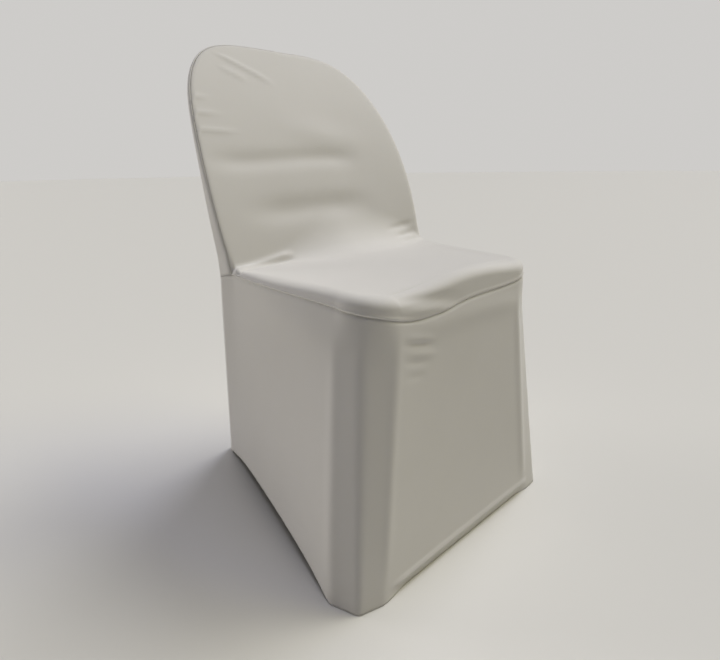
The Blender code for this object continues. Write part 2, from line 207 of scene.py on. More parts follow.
def linear_colour(sheet_hex):
    """The linear colour of an sRGB hex value."""
    parts = [int(sheet_hex[place : place + 2], 16) / 255 for place in (0, 2, 4)]
    return tuple(
        part / 12.92 if part <= 0.04045 else ((part + 0.055) / 1.055) ** 2.4 for part in parts
    )


def number(name, description, default, **kind):
    """A property of one number, or of several where its default has several."""
    several = isinstance(default, tuple)
    make = bpy.props.FloatVectorProperty if several else bpy.props.FloatProperty
    size = {"size": len(default)} if several else {}
    return make(name=name, description=description, default=default, **size, **kind)


def length(name, description, default):
    return number(name, description, default, unit="LENGTH", precision=4)


def colour(name, description, default):
    return number(name, description, linear_colour(default), subtype="COLOR", min=0.0, max=1.0)


class CoverSizes(bpy.types.PropertyGroup):
    """Sizes of the shape that the cover is stretched over."""

    sheet: length("Sheet", "Thickness of the cloth as built", 0.0012)
    seat_height: length("Seat height", "Seat above the floor", 0.445)
    hood_foot_y: length("Hood foot", "Where the inside back meets the seat", 0.066)
    hood_lean: number("Hood lean", "How far back from upright", math.radians(26.5), subtype="ANGLE")
    hood_bow: length("Hood bow", "How far the hood bows forward of its plane", 0.0185)
    hood_length: length("Hood length", "From the seat up to the crown", 0.3905)
    hood_foot_half: length("Hood foot half width", "Half of its width at the seat", 0.223)
    hood_half: length("Hood half width", "Half of its width above the seat", 0.2205)
    arch_start: length("Arch start", "Where its sides begin to close in", 0.028)
    far_bulge: length("Far bulge", "How far its far edge swells outward", 0.004)
    far_wing: length("Far wing", "How far its far edge is bent forward", 0.005)
    hood_depth: length("Hood depth", "From its front to its back, of the solid", 0.044)
    waist_depth: length("Waist depth", "From its front to its back at the seat", 0.050)
    crown_depth: length("Crown depth", "The same near the crown, away from the edge", 0.036)
    depth_reach: length("Depth reach", "How far from its edge the hood is at its full depth", 0.11)
    near_inset: length("Arch seam, near", "How far in from the hood's edge it lies", 0.0032)
    near_step: length("Arch seam, near depth", "How far behind the hood's front it lies", 0.0018)
    near_roll: length("Arch seam, near turn", "Width of the front panel's turn to it", 0.006)
    far_inset: length("Arch seam, far", "How far in from the hood's edge it lies", 0.003)
    hood_gauge: length("Solid's sheet", "Thickness of the solid's sheet under the crown", 0.0015)
    edge_roll: length("Edge roll", "Depth of the side band's turn to the front", 0.013)
    back_roll: length("Back roll", "Width of the hood's turn to its back", 0.012)
    band_lip: length("Band lip", "Straight cloth before the rear corner's seam", 0.003)
    seat_half: length("Seat half width", "Half of the seat's width at its front", 0.194)
    seat_front_y: length("Seat front", "The seat's front edge", -0.213)
    seat_corner: length("Seat corner", "Radius of the seat's front corners", 0.058)
    seat_roll: length("Seat roll", "Width of the seat's rounded edge", 0.020)
    seat_roll_drop: length("Seat roll drop", "Height of the seat's rounded edge", 0.015)
    seat_bulge: length("Seat bulge", "How far the seat's near side bows outward", 0.006)
    corner_dip: length("Corner dip", "How far the seat sinks beside its near front corner", 0.009)
    corner_dip_x: length("Corner dip, place", "Where along the front edge it sinks most", -0.105)
    corner_dip_half: length("Corner dip, half width", "How far along the edge it reaches", 0.080)
    far_dip: length("Far dip", "How far the seat sinks along its far side", 0.0025)
    seat_crown: length("Seat crown", "How far the seat swells", 0.007)
    hollow_middle: length("Hollow, middle", "Reach of the bend from seat to hood", 0.080)
    hollow_near: length("Hollow, near side", "The same at the near side", 0.006)
    hollow_far: length("Hollow, far side", "The same at the far side", 0.018)
    near_sharp: number("Hollow's sharp part", "Its near share of half the width", 0.16)
    far_spread: number("Hollow's far spread", "How soon it opens from the far side", 2.5)
    waist_middle: length("Waist, middle", "Reach of the bend at the waist behind", 0.150)
    waist_edge: length("Waist, edges", "The same at its edges", 0.001)
    rear_foot_x: length("Rear foot, across", "The hem's rear corners", 0.163)
    rear_foot_y: length("Rear foot, back", "The hem's rear corners", 0.268)
    near_side_end: length("Near foot, side end", "Where its flat side begins", (-0.2490, -0.187))
    near_tip: length("Near foot, tip", "Its pointed corner", (-0.2320, -0.2310))
    near_front_end: length("Near foot, front end", "Where its flat front ends", (-0.1930, -0.2420))
    far_front_end: length("Far foot, front end", "Where its flat front ends", (0.1800, -0.2425))
    far_tip: length("Far foot, tip", "Its pointed corner", (0.2235, -0.2400))
    far_side_end: length("Far foot, side end", "Where its flat side begins", (0.2440, -0.190))
    side_arch: length("Side arch", "How far the side hem is drawn up", 0.030)
    front_arch: length("Front arch", "How far the front hem is drawn up", 0.001)
    rear_arch: length("Rear arch", "How far the rear hem is drawn up", 0.015)
    side_hollow: length("Side hollow", "How far the skirt's sides are drawn in", 0.007)
    front_hollow: length("Front hollow", "How far the skirt's front is drawn in", 0.003)
    seam_lip: length("Seam lip", "How far the cloth turns in at a seam", 0.004)
    seam_gap: length("Seam gap", "Between the two sheets of a seam", 0.0005)
    seam_bead: length("Seam bead", "How far the cloth swells just above the seat seam", 0.0012)
    tuck: length("Tuck", "How far the skirt runs up behind the seat seam", 0.005)
    tuck_depth: length("Tuck depth", "How far behind the seat seam it runs up", 0.0025)
    facet_start: number("Facet start", "Share of the way down where the corners are flat", 0.16)
    near_ridge: number("Ridge", "Share of the way round the near corner where its flats meet", 0.44)


class CoverColours(bpy.types.PropertyGroup):
    """Colours of the cloth and of the stage."""

    cloth: colour("Cloth", "Ivory stretch cloth", "D5D2CE")
    cloth_shade: colour("Cloth, shade", "The cloth where its knit is a little denser", "D0CDC8")
    floor: colour("Floor", "Plain pale floor", "D3D1CC")
    background: colour("Background", "The plain pale wall behind", "FFFDFA")


def unit(vector):
    return vector / np.linalg.norm(vector)


def ease(start, end, value):
    """0 before start and 1 past end, with a soft step between them."""
    part = np.clip((value - start) / (end - start), 0.0, 1.0)
    return part * part * (3 - 2 * part)


def shares(count):
    """The shares from 0 to 1 at the ends of count equal steps."""
    return np.linspace(0.0, 1.0, count + 1)


def quarter_turns(count):
    """The angles at the ends of count equal steps of a quarter turn."""
    return np.linspace(0.0, math.pi / 2, count + 1)


def by_row(values):
    """Values that each scale one point of a row of points."""
    return np.asarray(values, dtype=float)[..., None]


def resampled(points, count):
    """A line's points, placed again in count equal steps along it."""
    steps = np.linalg.norm(np.diff(points, axis=0), axis=1)
    run = np.concatenate([[0.0], np.cumsum(steps)])
    places = np.linspace(0.0, run[-1], count + 1)
    return np.stack([np.interp(places, run, values) for values in points.T], axis=1)


def from_table(table, name, places):
    """A soft curve through one column of a table, at places along its first column."""
    at = np.array([row[0] for row in table])
    value = np.array([getattr(row, name) for row in table])
    slope = np.gradient(value, at)
    index = np.clip(np.searchsorted(at, places) - 1, 0, len(at) - 2)
    span = at[index + 1] - at[index]
    part = np.clip((places - at[index]) / span, 0.0, 1.0)
    rise = part * part * (3 - 2 * part)
    start = part * (1 - part) ** 2 * span * slope[index]
    end = part * part * (part - 1) * span * slope[index + 1]
    return value[index] * (1 - rise) + value[index + 1] * rise + start + end


def softened(points, passes):
    """A row of points with its corners rounded, and its two ends kept."""
    for _ in range(passes):
        inner = (points[:-2] + 2 * points[1:-1] + points[2:]) / 4
        points = np.concatenate([points[:1], inner, points[-1:]])
    return points


def left_ways(points):
    """Directions to the left of a row of points in a plane, square to its run."""
    along = np.gradient(points, axis=0)
    along = along / by_row(np.linalg.norm(along, axis=1))
    return np.stack([-along[:, 1], along[:, 0]], axis=1)


def inward_ways(outline):
    """The way inward, in its own plane, at each point of the outline."""
    ways = left_ways(outline)
    ways[-1] = (0.0, -1.0)
    return ways


def inset(outline, distance):
    """The outline moved inward in its own plane by each point's distance."""
    moved = outline + inward_ways(outline) * by_row(np.broadcast_to(distance, len(outline)))
    moved[:, 0] = np.maximum(moved[:, 0], 0.0)
    moved[-1, 0] = 0.0
    return moved


def bridge(distance, reach, one_way, other_way):
    """What is added to a sharp corner's two lines to bridge the corner within reach of it."""
    near = np.maximum(reach - np.abs(distance), 0.0)
    return by_row(near * near / (4 * reach)) * (one_way + other_way)


class Shape:
    """The lines and surfaces that the cover is stretched over, worked out from its sizes."""

    def __init__(self, size):
        self.size = size
        self.up = np.array([0.0, math.sin(size.hood_lean), math.cos(size.hood_lean)])
        self.into = np.array([0.0, math.cos(size.hood_lean), -math.sin(size.hood_lean)])
        self.foot = np.array([0.0, size.hood_foot_y, size.seat_height])
        self.foot_way = unit(self.up - self.into * size.hood_bow * 4 / size.hood_length)
        self.waist = self.foot + self.into * size.waist_depth
        self.back_way = unit(self.rear_corner(0.0, 1.0) - self.rear_corner(0.0, 0.0))
        self.seat_run = size.hood_foot_y - size.seat_front_y
        crown = self.up * (size.hood_length - size.hood_gauge)
        self.origin = self.foot + crown + self.into * size.hood_depth / 2

    def bow(self, up):
        """How far the hood stands forward of its straight plane."""
        part = np.clip(np.asarray(up) / self.size.hood_length, 0.0, 1.0)
        return self.size.hood_bow * 4 * part * (1 - part)

    def outline(self, side):
        """Half width and height up the hood of one side's edge, from its foot to its crown."""
        size = self.size
        across_power, up_power = HOOD_POWERS[side]
        turn = np.linspace(0.0, math.pi / 2, ARCH_STEPS)
        across = np.clip(np.cos(turn), 0.0, 1.0) ** (2 / across_power)
        rise = np.sin(turn) ** (2 / up_power)
        up = size.arch_start + (size.hood_length - size.arch_start) * rise
        if side == "near":
            swell = self.by_height("near_swell", up)
        else:
            swell = size.far_bulge * np.sin(math.pi * rise)
        across = across * (size.hood_half + swell)
        across[-1] = 0.0
        arch = np.stack([across, up], axis=1)
        return resampled(np.vstack([[size.hood_foot_half, 0.0], arch]), HOOD_ROWS)

    def wing(self, across, up):
        """How far the far edge of the hood is bent forward."""
        part = np.clip(up / self.size.hood_length, 0.0, 1.0)
        bent = ease(WING_START, 1.0, across / self.size.hood_half)
        return self.size.far_wing * bent * np.sin(math.pi * part)

    def by_height(self, name, up):
        """One column of the table of the hood's edge, at heights up the hood."""
        part = np.clip(np.asarray(up) / self.size.hood_length, 0.0, 1.0)
        return from_table(HOOD_EDGE, name, part)

    def depth(self, lines, across, up):
        """The hood's depth: thin along its edge lines and fuller towards its middle."""
        size = self.size
        part = ease(DEPTH_START, 1.0, up / size.hood_length)
        middle = size.waist_depth + (size.crown_depth - size.waist_depth) * part
        edge = self.by_height("depth", up)
        line = np.vstack([lines["near"] * [-1.0, 1.0], lines["far"]])
        gaps = np.stack([across, up], axis=1)[:, None] - line[None]
        distance = np.linalg.norm(gaps, axis=2).min(axis=1)
        return edge + (middle - edge) * ease(0.0, size.depth_reach, distance)

    def front_point(self, across, forward, reach):
        """A point of the inside back (forward is negative there) and of the seat."""
        across, forward, reach = np.broadcast_arrays(across, forward, reach)
        up = np.maximum(-forward, 0.0)
        lift = self.bow(up) + self.wing(across, up)
        on_hood = by_row(up) * self.up - by_row(lift) * self.into
        on_seat = by_row(np.maximum(forward, 0.0)) * FORWARD
        corner = bridge(forward, reach, self.foot_way, FORWARD)
        return self.foot + by_row(across) * [1.0, 0.0, 0.0] + on_hood + on_seat + corner

    def rear_corner(self, side, part):
        """The upright seam between skirt and back, by its share of the way down to the hem."""
        size = self.size
        start = self.waist - self.into * (size.back_roll + size.band_lip)
        start = start + np.array([side * size.hood_foot_half, 0.0, 0.0])
        end = np.array([side * size.rear_foot_x, size.rear_foot_y, 0.0])
        return start + (end - start) * part

    def back_point(self, across, up, reach, depth):
        """A point of the hood's back, by its height up the hood and the hood's depth there."""
        across, up, reach, depth = np.broadcast_arrays(across, up, reach, depth)
        lift = self.bow(up) + self.wing(across, up) + self.size.waist_depth - depth
        on_hood = by_row(up) * self.up - by_row(lift) * self.into
        corner = bridge(up, reach, self.foot_way, self.back_way)
        return self.waist + by_row(across) * [1.0, 0.0, 0.0] + on_hood + corner

    def arch_seam(self, name):
        """A size of the arch seam at each point of the hood's outline, even or from its table."""
        part = shares(HOOD_ROWS)
        if hasattr(self.size, name):
            return np.full(len(part), getattr(self.size, name))
        return from_table(ARCH_SEAM, name, part)

    def sag(self, side, index):
        """How far the seams are pulled down where they meet at the hood's foot."""
        drop = self.seam_drop({"near": 0.0, "far": 1.0}[side])
        return drop * np.clip(1 - np.asarray(index) / SAG_ROWS, 0.0, 1.0) ** 2

    def seat_outline(self, side):
        """Half width and distance forward of the seat's edge, then of its inner line."""
        size = self.size
        start = size.hood_foot_half - self.arch_seam(side + "_inset")[0]
        first_roll = self.arch_seam(side + "_roll")[0]
        corner_x = size.seat_half - size.seat_corner
        corner_forward = self.seat_run - size.seat_corner
        part = shares(SIDE_ROWS)[1:]
        bulge = {"near": size.seat_bulge, "far": 0.0}[side]
        side_x = start + (size.seat_half - start) * part + bulge * np.sin(math.pi * part)
        roll = first_roll + (size.seat_roll - first_roll) * ease(0.0, ROLL_FULL, part)
        turn = quarter_turns(CORNER_ROWS)[1:]
        round_way = np.column_stack([np.cos(turn), np.sin(turn)])
        centre = [corner_x, corner_forward]
        return [
            np.vstack([
                np.column_stack([side_x - inward, corner_forward * part]),
                centre + radius * round_way,
            ])
            for inward, radius in ((0.0, size.seat_corner), (roll, size.seat_corner - size.seat_roll))
        ]

    def dip(self, across, forward):
        """How far the seat lies below its plane."""
        size = self.size
        part = forward / self.seat_run
        along = (across - size.corner_dip_x) / size.corner_dip_half
        corner = size.corner_dip * np.exp(-(along**2)) * ease(DIP_START, 1.0, part)
        far = ease(FAR_DIP_START, 1.0, across / size.seat_half) * ease(0.0, FAR_DIP_END, part)
        return corner + size.far_dip * far

    def seat_point(self, across, forward, reach):
        """A point of the seat, sunk where it dips."""
        return self.front_point(across, forward, reach) + by_row(self.dip(across, forward)) * DOWN

    def seam_places(self, edge):
        """Where the near half's seat rows lie along the whole seam, and half its length."""
        line = np.vstack([[self.size.hood_foot_half, 0.0], edge, [0.0, self.seat_run]])
        run = np.concatenate([[0.0], np.cumsum(np.linalg.norm(np.diff(line, axis=0), axis=1))])
        return run[1:-1] / (2 * run[-1]), run[-1]

    def seam_drop(self, place):
        return from_table(SEAM_DROPS, "drop", place)


def quarter_roll(inner, edge, turned):
    """The rows of a quarter roll off inner, which leads over to edge while it turns by turned."""
    return [
        inner + (edge - inner) * math.sin(turn) + turned * (1 - math.cos(turn))
        for turn in quarter_turns(ROLL_STEPS)[1:]
    ]


def turned_edge(inner, edge, way, drop, turn_drop, lip_way, lip, bead):
    """The cloth's turn over an edge, row by row from the first step off inner.

    A quarter roll leads from inner to edge, and a wall, which swells a little just above the
    seam, leads down to the seam at drop. The lip turns in behind the seam.
    """
    drop = np.asarray(drop, dtype=float)
    turn_drop = np.minimum(turn_drop, drop)
    steps = quarter_roll(inner, edge, by_row(turn_drop) * way)
    for part in shares(WALL_STEPS)[1:]:
        above = (drop - turn_drop) * (1 - part) ** 2
        ridge = np.exp(-(((above - BEAD_ABOVE_METRES) / BEAD_HALF_METRES) ** 2))
        groove = np.exp(-((above / GROOVE_HALF_METRES) ** 2))
        swell = bead * (ridge - GROOVE_SHARE * groove)
        steps.append(edge + by_row(drop - above) * way - by_row(swell) * lip_way)
    for part in shares(LIP_STEPS)[1:]:
        steps.append(steps[ROLL_STEPS + WALL_STEPS - 1] + lip_way * lip * part)
    return np.array(steps)


EDGE_STEPS = ROLL_STEPS + WALL_STEPS + LIP_STEPS
HOOD_LINES = EDGE_STEPS + CROWN_ROW + 1


def joined_row(near_edge, middle, far_edge):
    """One row of the cloth, from the near seam to the far one."""
    return np.vstack([near_edge[::-1], middle, far_edge])


def rows_over(row, over):
    """Rows that carry a row's middle over an edge, while its own two edges stay where they are."""
    count = len(over)
    rows = []
    for step in range(1, count + 1):
        corner = [min(at, count - step) for at in range(count)]
        rows.append(np.vstack([row[corner], over[step - 1], row[::-1][corner][::-1]]))
    return rows


def at_places(line, places):
    """Points of a line at broken numbers of its points."""
    numbers = np.arange(len(line))
    return np.stack([np.interp(places, numbers, values) for values in line.T], axis=-1)


def hood_line(lines, share, index):
    """Across and up of a row of the hood, which bulges near the crown to lie along it."""
    near_half, near_up = lines["near"][index]
    far_half, far_up = lines["far"][index]
    across = -near_half + (near_half + far_half) * (share + 1) / 2
    straight = near_up + (far_up - near_up) * (share + 1) / 2
    near = np.interp(-across, lines["near"][::-1, 0], lines["near"][::-1, 1])
    far = np.interp(across, lines["far"][::-1, 0], lines["far"][::-1, 1])
    along_crown = np.where(across < 0, near, far)
    part = ease(CROWN_ROW - CROWN_SPREAD_ROWS, CROWN_ROW, index)
    return across, straight + (along_crown - straight) * part


def crown_places(lines, across):
    """The numbers of the outline's points above places across the hood, with their sides."""
    numbers = np.arange(HOOD_ROWS, -1, -1)
    near = np.interp(-across, lines["near"][::-1, 0], numbers)
    far = np.interp(across, lines["far"][::-1, 0], numbers)
    return np.where(across < 0, near, far), np.where(across < 0, "near", "far")


def hood_rows(lines, share, middle_points, edge_points):
    """A panel's rows over the crown and down to the hood's foot, from its middle and its edges.

    middle_points takes places across and up the hood. edge_points takes a side and a number of
    the outline's points, which may be broken.
    """
    rows = []
    for index in range(CROWN_ROW, -1, -1):
        middle = middle_points(*hood_line(lines, share, index))
        rows.append(joined_row(edge_points("near", index), middle, edge_points("far", index)))
    across, _ = hood_line(lines, share, CROWN_ROW)
    over = [edge_points(side, place) for place, side in zip(*crown_places(lines, across))]
    return rows_over(rows[0], np.stack(over, axis=1))[::-1] + rows


SIDE_SIGNS = {"near": -1, "far": 1}


def hood_edge(shape, side, line, place):
    """The front panel's turn to the arch seam, at a broken number of the outline's points."""
    sign = SIDE_SIGNS[side]
    hollow = getattr(shape.size, "hollow_" + side)
    seam_half, seam_up, inner_half, inner_up, step = at_places(line, place)
    edge = shape.front_point(sign * seam_half, -seam_up, hollow) + DOWN * shape.sag(side, place)
    start = shape.front_point(sign * inner_half, -inner_up, hollow)
    return turned_edge(start, edge, shape.into, step, step, shape.into, shape.size.seam_lip, 0.0)


def seat_edge(shape, side, outer, inner, along):
    """The front panel's turn to the seat seam, at one point of the seat's outline."""
    size = shape.size
    sign = SIDE_SIGNS[side]
    hollow = getattr(size, "hollow_" + side)
    drop = shape.seam_drop(along) - shape.dip(sign * outer[0], outer[1])
    edge = shape.seat_point(sign * outer[0], outer[1], hollow)
    start = shape.seat_point(sign * inner[0], inner[1], hollow)
    turn_drop = min(size.seat_roll_drop, drop * TURN_SHARE)
    lip_way = unit((start - edge) * [1.0, 1.0, 0.0])
    return turned_edge(start, edge, DOWN, drop, turn_drop, lip_way, size.seam_lip, size.seam_bead)


def front_rows(shape):
    """Inside back and seat, cut in one: rows from the crown to the front seam."""
    size = shape.size
    share = np.linspace(-1.0, 1.0, ACROSS + 1)
    opened = ease(size.near_sharp - 1, HOLLOW_OPEN, share)
    closed = np.maximum(share, 0.0) ** size.far_spread
    reach = size.hollow_near + (size.hollow_middle - size.hollow_near) * opened
    reach = reach + (size.hollow_far - size.hollow_middle) * closed
    edge_lines = {}
    inner_lines = {}
    for side in SIDE_SIGNS:
        outline = shape.outline(side)
        seam_inset = shape.arch_seam(side + "_inset")
        inner = inset(outline, seam_inset + shape.arch_seam(side + "_roll"))
        step = shape.arch_seam(side + "_step")
        edge_lines[side] = np.column_stack([inset(outline, seam_inset), inner, step])
        inner_lines[side] = inner
    rows = hood_rows(
        inner_lines,
        share,
        lambda across, up: shape.front_point(across, -up, reach),
        lambda side, place: hood_edge(shape, side, edge_lines[side], place),
    )

    near_outline, near_inner = shape.seat_outline("near")
    far_outline, far_inner = shape.seat_outline("far")
    seam_places, half_seam = shape.seam_places(near_outline)
    for index, place in enumerate(seam_places):
        near_half, forward = near_inner[index]
        far_half = far_inner[index][0]
        across = -near_half + (near_half + far_half) * (share + 1) / 2
        crown = size.seat_crown * ease(0.0, SWELL_FULL_METRES, forward)
        crown = crown * (1 - share**2) ** SWELL_POWER
        middle = shape.seat_point(across, forward, reach) - by_row(crown) * DOWN
        near = seat_edge(shape, "near", near_outline[index], near_inner[index], place)
        far = seat_edge(shape, "far", far_outline[index], far_inner[index], 1 - place)
        rows.append(joined_row(near, middle, far))

    inner = rows[-1][EDGE_STEPS:-EDGE_STEPS]
    edge = inner.copy()
    edge[:, 1] = size.seat_front_y
    edge_dip = shape.dip(edge[:, 0], size.hood_foot_y - edge[:, 1])
    inner_dip = shape.dip(inner[:, 0], size.hood_foot_y - inner[:, 1])
    edge = edge + by_row(edge_dip - inner_dip) * DOWN
    place = 0.5 + inner[:, 0] / (2 * half_seam)
    drop = shape.seam_drop(place) - edge_dip
    over = turned_edge(
        inner, edge, DOWN, drop, size.seat_roll_drop, -FORWARD, size.seam_lip, size.seam_bead
    )
    return np.array(rows + rows_over(rows[-1], over))


def seam_line(rows):
    """The points of the seat seam, from the near rear corner round to the far one."""
    first = HOOD_LINES
    last = HOOD_LINES + SIDE_ROWS + CORNER_ROWS - 1
    near = rows[first : last + 1, LIP_STEPS]
    far = rows[first : last + 1, -LIP_STEPS - 1][::-1]
    front = rows[-LIP_STEPS - 1][EDGE_STEPS + 1 : -EDGE_STEPS - 1]
    return near, front, far


def band_drop(size, depth):
    """How far the side band's rear roll and lip reach forward from the hood's back."""
    return min(size.back_roll + size.band_lip, depth * BAND_SHARE)


def band_section(size, depth, seam_inset, seam_step):
    """The side band's section: distance in from the hood's edge, and depth behind its front.

    From the back roll forward, over the straight side, round to the arch seam and its lip.
    """
    drop = band_drop(size, depth)
    edge_roll = min(size.edge_roll, depth * BAND_SHARE)
    end = seam_inset - size.seam_gap
    turn = quarter_turns(ROLL_STEPS)[1:]
    side = shares(BAND_STEPS)[1:]
    lip = shares(LIP_STEPS)[1:]
    parts = [
        (size.back_roll * (1 - np.sin(turn)), depth - drop * (1 - np.cos(turn))),
        (0.0 * side, depth - drop + (edge_roll - depth + drop) * side),
        (end * (1 - np.cos(turn)), edge_roll - (edge_roll - seam_step) * np.sin(turn)),
        (end + 0.0 * lip, seam_step + size.seam_lip * lip),
    ]
    return np.hstack(parts).T


BAND_COUNT = 2 * ROLL_STEPS + BAND_STEPS + LIP_STEPS


class Band:
    """One side band of the hood, from its outline's lines."""

    def __init__(self, shape, side):
        self.shape = shape
        self.side = side
        outline = shape.outline(side)
        seam = [shape.arch_seam(side + "_inset"), shape.arch_seam(side + "_step")]
        self.lines = np.column_stack([outline, inward_ways(outline), *seam])

    def points(self, place):
        """The band's section at a broken number of the outline's points."""
        size = self.shape.size
        half, up, in_across, in_up, seam_inset, seam_step = at_places(self.lines, place)
        depth = float(self.shape.by_height("depth", up))
        section = band_section(size, depth, seam_inset, seam_step)
        half = SIDE_SIGNS[self.side] * np.maximum(half + in_across * section[:, 0], 0.0)
        up = up + in_up * section[:, 0]
        hollow = getattr(size, "hollow_" + self.side)
        on_front = self.shape.front_point(half, -up, hollow)
        on_back = self.shape.back_point(half, up, size.waist_edge, depth)
        part = section[:, 1] / depth
        to_seam = 1 - np.clip(section[:, 1] / (depth - band_drop(size, depth)), 0.0, 1.0)
        sag = by_row(self.shape.sag(self.side, place) * to_seam) * DOWN
        return on_front * by_row(1 - part) + on_back * by_row(part) + sag


def rear_rows(shape):
    """Back of the hood with its side bands, and the back down to the hem, cut in one."""
    size = shape.size
    share = np.linspace(-1.0, 1.0, ACROSS + 1)
    reach = size.waist_middle + (size.waist_edge - size.waist_middle) * share**2
    bands = {side: Band(shape, side) for side in SIDE_SIGNS}
    inner_lines = {side: inset(shape.outline(side), size.back_roll) for side in SIDE_SIGNS}
    rows = hood_rows(
        inner_lines,
        share,
        lambda across, up: shape.back_point(across, up, reach, shape.depth(inner_lines, across, up)),
        lambda side, place: bands[side].points(place),
    )

    no_point = np.full((BAND_COUNT - ROLL_STEPS, 3), np.nan)
    run = np.linalg.norm(shape.rear_corner(0.0, 1.0) - shape.rear_corner(0.0, 0.0))
    roll_in = np.array([size.back_roll, 0.0, 0.0])
    drop = size.back_roll + size.band_lip
    for part in shares(REAR_ROWS)[1:]:
        turned = ease(0.0, BACK_TURNED, part)
        backward = unit(shape.into * (1 - turned) - FORWARD * turned)
        ends = [shape.rear_corner(side, part) + backward * drop for side in (-1, 1)]
        inners = [ends[0] + roll_in, ends[1] - roll_in]
        middle = inners[0] + by_row((share + 1) / 2) * (inners[1] - inners[0])
        middle = middle + bridge(part * run, reach, shape.foot_way, shape.back_way)
        lift = size.rear_arch * (1 - share**2) * part**REAR_ARCH_POWER
        middle = middle - by_row(lift) * DOWN
        near, far = (
            np.vstack([quarter_roll(inner, end, -backward * drop), no_point])
            for end, inner in zip(ends, inners)
        )
        rows.append(joined_row(near, middle, far))
    return np.array(rows)


def faceted(start, tip, end, count):
    """The points after start, over two flats that meet at tip, to end."""
    part = by_row(shares(count)[1:])
    first = start + (tip - start) * part * 2
    second = tip + (end - tip) * (part * 2 - 1)
    return np.where(part < 0.5, first, second)


def skirt_hem(size, side_count, corner_count, front_count):
    """The skirt's lower edge, with a point under each point of its upper edge."""
    part = shares(side_count)
    across = np.linspace(-1.0, 1.0, front_count + 2)[1:-1]
    halves = []
    for side, side_end, tip, front_end in (
        (-1, size.near_side_end, size.near_tip, size.near_front_end),
        (1, size.far_side_end, size.far_tip, size.far_front_end),
    ):
        rear = np.array([side * size.rear_foot_x, size.rear_foot_y])
        edge = rear + by_row(part) * (np.array(side_end) - rear)
        corner = faceted(np.array(side_end), np.array(tip), np.array(front_end), corner_count)
        height = size.side_arch * (1 - np.abs(2 * part - 1) ** SIDE_ARCH_POWER)
        height = np.concatenate([height, np.zeros(corner_count)])
        halves.append(np.column_stack([np.vstack([edge, corner]), height]))
    arch = size.front_arch * np.cos(math.pi / 2 * across)
    start, end = np.array(size.near_front_end), np.array(size.far_front_end)
    front = start + by_row((across + 1) / 2) * (end - start)
    return np.vstack([halves[0], np.column_stack([front, arch]), halves[1][::-1]])


def skirt_rows(shape, rows):
    """Near side, front and far side, cut in one: columns from the seat seam to the hem."""
    size = shape.size
    near, front, far = seam_line(rows)
    side_count = SIDE_ROWS + WAIST_ROWS
    near_side = resampled(np.vstack([shape.rear_corner(-1, 0.0), near[:SIDE_ROWS]]), side_count)
    far_side = resampled(np.vstack([far[-SIDE_ROWS:], shape.rear_corner(1, 0.0)]), side_count)
    near_corner = near[SIDE_ROWS:]
    far_corner = far[:-SIDE_ROWS]
    top = np.vstack([near_side, near_corner, front, far_corner, far_side])
    corner_count = len(near_corner)
    hem = skirt_hem(size, side_count, corner_count, len(front))

    part = shares(SKIRT_ROWS)
    sheet = top[:, None] * by_row(1 - part) + hem[:, None] * by_row(part)
    set_in = ease(0.0, size.facet_start, part)
    near_at = side_count
    far_at = len(top) - side_count - 1
    for start, end, tip_share in ((near_at, near_at + corner_count, size.near_ridge),
                                  (far_at - corner_count, far_at, 1 - size.near_ridge)):
        arc = top[start : end + 1]
        tip = arc[round(corner_count * tip_share)]
        flats = np.vstack([arc[:1], faceted(arc[0], tip, arc[-1], corner_count)])
        change = (flats - arc)[:, None] * by_row(set_in * (1 - part))
        change[..., 2] = 0.0
        sheet[start : end + 1] += change
    belly = np.sin(math.pi * part)
    hollow = size.side_hollow * np.sin(math.pi * shares(side_count))
    sheet[: side_count + 1, :, 0] += hollow[:, None] * belly
    sheet[-side_count - 1 :, :, 0] -= hollow[::-1, None] * belly
    start = side_count + 1 + corner_count
    hollow = size.front_hollow * np.sin(math.pi * shares(len(front) - 1))
    sheet[start : start + len(front), :, 1] += hollow[:, None] * belly
    for index in range(SKIRT_ROWS + 1):
        softness = min(part[index] / size.facet_start, 1 - HEM_SHARPNESS * part[index])
        passes = round(EDGE_SOFTNESS * softness)
        sheet[:, index] = softened(sheet[:, index], passes)
    tuck_in = np.zeros_like(top)
    tuck_in[:, :2] = left_ways(top[:, :2]) * size.tuck_depth
    rises = size.tuck * np.linspace(1.0, 0.0, TUCK_STEPS)
    tucked = [top + tuck_in - DOWN * rise for rise in rises]
    return np.concatenate([np.stack(tucked, axis=1), sheet[:, 1:]], axis=1)


def fold_rise(folds, across, along):
    """How far the folds lift the cloth at each place of its sheet."""
    total = np.zeros(len(across))
    for fold in folds:
        start = np.array(fold.start)
        chord = np.array(fold.end) - start
        run = np.linalg.norm(chord)
        way = chord / run
        part = ((across - start[0]) * way[0] + (along - start[1]) * way[1]) / run
        over = (along - start[1]) * way[0] - (across - start[0]) * way[1]
        over = over - fold.bow * 4 * part * (1 - part)
        strength = ease(0.0, fold.fade, part) * ease(0.0, fold.fade, 1 - part)
        total += fold.rise * strength * np.exp(-((over / fold.width) ** 2))
    return total


def pattern_places(rows, start):
    """How far each point lies across its sheet from column start, and along it from row 0."""
    filled = np.nan_to_num(rows)
    across = np.linalg.norm(np.diff(filled, axis=1), axis=2)
    across = np.concatenate([np.zeros((len(rows), 1)), np.cumsum(across, axis=1)], axis=1)
    across = across - across[:, start : start + 1]
    along = np.linalg.norm(np.diff(filled, axis=0), axis=2)
    along = np.concatenate([np.zeros((1, rows.shape[1])), np.cumsum(along, axis=0)], axis=0)
    return across, along


def placed(name, data):
    """A new object in the scene."""
    item = bpy.data.objects.new(name, data)
    bpy.context.scene.collection.objects.link(item)
    return item


